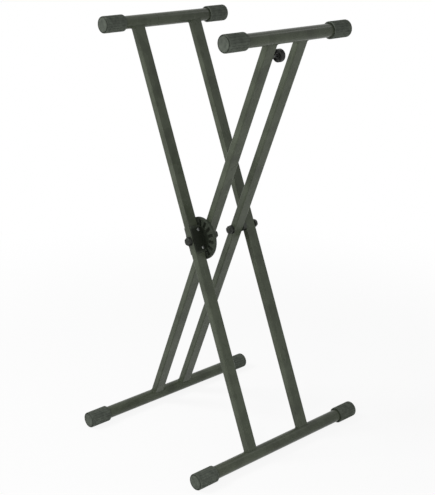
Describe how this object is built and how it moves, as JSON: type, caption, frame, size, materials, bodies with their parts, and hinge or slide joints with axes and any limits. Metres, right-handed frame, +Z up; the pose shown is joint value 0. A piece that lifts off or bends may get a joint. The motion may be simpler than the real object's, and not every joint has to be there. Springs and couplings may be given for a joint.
{
  "type": "folding keyboard stand",
  "caption": "Folding keyboard stand: two crossing welded tube frames on pivot bolts, ribbed end caps, an index disc with a sprung lock pin, and a pull knob that releases it.",
  "frame": {"origin": "on the floor, midway between the floor bars and between the legs", "axes": "+Z up; +X the way the stand spreads, towards the top of the inner frame; Y along the bars, the index disc at -Y"},
  "size_m": [0.407, 0.496, 0.936],
  "materials": {
    "powder_coat": "satin powder coat",
    "cap_rubber": "matt moulded rubber",
    "disc_nylon": "moulded glass-filled nylon",
    "black_steel": "black zinc plate",
    "bright_steel": "bright zinc plate",
    "knob_plastic": "satin moulded plastic",
    "bush_brass": "turned",
    "washer_nylon": "moulded nylon"
  },
  "bodies": {
    "outer_frame": {"outer_top_bar": "powder_coat", "outer_floor_bar": "powder_coat", "outer_leg_near": "powder_coat", "outer_leg_far": "powder_coat", "cap_outer_top_near": "cap_rubber", "cap_outer_top_far": "cap_rubber", "cap_outer_floor_near": "cap_rubber", "cap_outer_floor_far": "cap_rubber", "index_disc": "disc_nylon", "index_screw_1": "bright_steel", "index_screw_2": "bright_steel", "index_screw_3": "bright_steel", "index_screw_4": "bright_steel", "pivot_spacer_far": "black_steel", "thrust_washer": "washer_nylon", "pivot_bolt_near": "black_steel", "pivot_bolt_far": "black_steel", "bolt_washer_near": "black_steel", "bolt_washer_far": "black_steel", "nut_washer_near": "black_steel", "nut_washer_far": "black_steel", "pivot_nut_near": "black_steel", "pivot_nut_far": "black_steel"},
    "inner_frame": {"inner_top_bar": "powder_coat", "inner_floor_bar": "powder_coat", "inner_leg_near": "powder_coat", "inner_leg_far": "powder_coat", "pivot_sleeve_near": "bright_steel", "pivot_sleeve_far": "bright_steel", "lock_pin_bush": "bush_brass", "lock_pin_spring": "bright_steel", "stem_bush": "black_steel", "cable_guide_lower": "bright_steel", "cable_guide_upper": "bright_steel", "release_cable": "bright_steel", "cap_inner_top_near": "cap_rubber", "cap_inner_top_far": "cap_rubber", "cap_inner_floor_near": "cap_rubber", "cap_inner_floor_far": "cap_rubber"},
    "release_knob": {"release_knob": "knob_plastic", "knob_stem": "bright_steel"},
    "lock_pin": {"lock_pin": "bright_steel"}
  },
  "joints": [
    {"name": "fold", "type": "hinge", "parent": "outer_frame", "child": "inner_frame", "pos_m": [0, 0, 0.46798], "axis": [0, 1, 0], "range_deg": [-40.4, 67.5]},
    {"name": "knob_pull", "type": "slide", "parent": "inner_frame", "child": "release_knob", "axis": [0, 1, 0], "range_m": [0, 0.008], "stiffness_N_per_m": 800, "springref_m": -0.01},
    {"name": "lock_pin_slide", "type": "slide", "parent": "inner_frame", "child": "lock_pin", "axis": [0, 1, 0], "range_m": [0, 0.008], "deforming": ["lock_pin_spring", "release_cable"]}
  ],
  "couplings": [
    {"joint": "lock_pin_slide", "follows": "knob_pull", "ratio": 1}
  ]
}
